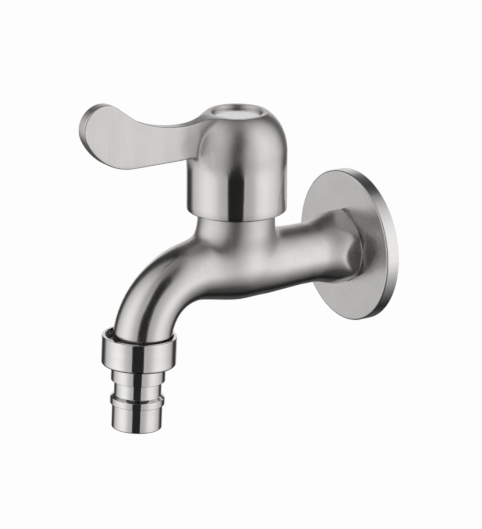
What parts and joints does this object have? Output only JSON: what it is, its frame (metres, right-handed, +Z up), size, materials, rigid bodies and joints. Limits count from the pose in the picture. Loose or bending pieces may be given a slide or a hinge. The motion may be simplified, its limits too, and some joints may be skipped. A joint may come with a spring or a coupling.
{
  "type": "bib tap",
  "caption": "Wall-mounted stainless bib tap with a hooked spout, a round wall flange, a quarter-turn lever handle over a bell, and a collar nut that holds a hose nozzle.",
  "frame": {"origin": "centre of the wall flange's back face, on the axis of the inlet thread", "axes": "+Z up along the valve's axis, +Y into the wall along the inlet, -Y towards the spout and the lever, +X to the side that the lever swings to when it opens"},
  "size_m": [0.0556, 0.1275, 0.1215],
  "materials": {
    "satin_stainless": "satin",
    "flange_stainless": "fine satin face, polished rim",
    "handle_stainless": "satin, brushed upright",
    "polished_stainless": "turned and polished",
    "valve_brass": "machined",
    "fastener_steel": "plain",
    "cap_aluminium": "satin",
    "ceramic": "lapped",
    "seal_rubber": "moulded",
    "fibre": "pressed fibre",
    "slip_plastic": "plain"
  },
  "bodies": {
    "body": {"tap_body": "satin_stainless", "wall_flange": "flange_stainless", "valve_housing": "valve_brass", "housing_seal": "fibre", "seat_seal": "seal_rubber", "fixed_disc": "ceramic"},
    "lever": {"handle": "handle_stainless", "index_cap": "cap_aluminium", "handle_screw": "fastener_steel", "screw_spring_washer": "fastener_steel", "spindle": "valve_brass", "spindle_o_ring_lower": "seal_rubber", "spindle_o_ring_upper": "seal_rubber", "thrust_washer": "slip_plastic", "stop_washer": "fastener_steel", "retaining_clip": "fastener_steel", "moving_disc": "ceramic"},
    "nozzle": {"hose_nozzle": "polished_stainless", "nozzle_gasket": "seal_rubber"},
    "collar": {"collar_nut": "polished_stainless"}
  },
  "joints": [
    {"name": "handle_turn", "type": "hinge", "parent": "body", "child": "lever", "pos_m": [0, -0.0519, 0], "axis": [0, 0, 1], "range_deg": [0, 90]},
    {"name": "nozzle_drop", "type": "slide", "parent": "body", "child": "nozzle", "axis": [0, -0.0377, -0.9993], "range_m": [0, 0.004]},
    {"name": "collar_spin", "type": "hinge", "parent": "nozzle", "child": "collar", "pos_m": [0, -0.0928, -0.0187], "axis": [0, -0.0377, -0.9993], "range_deg": [0, 1440]}
  ],
  "couplings": [
    {"joint": "collar_spin", "follows": "nozzle_drop", "rad_per_m": 6283.2}
  ]
}
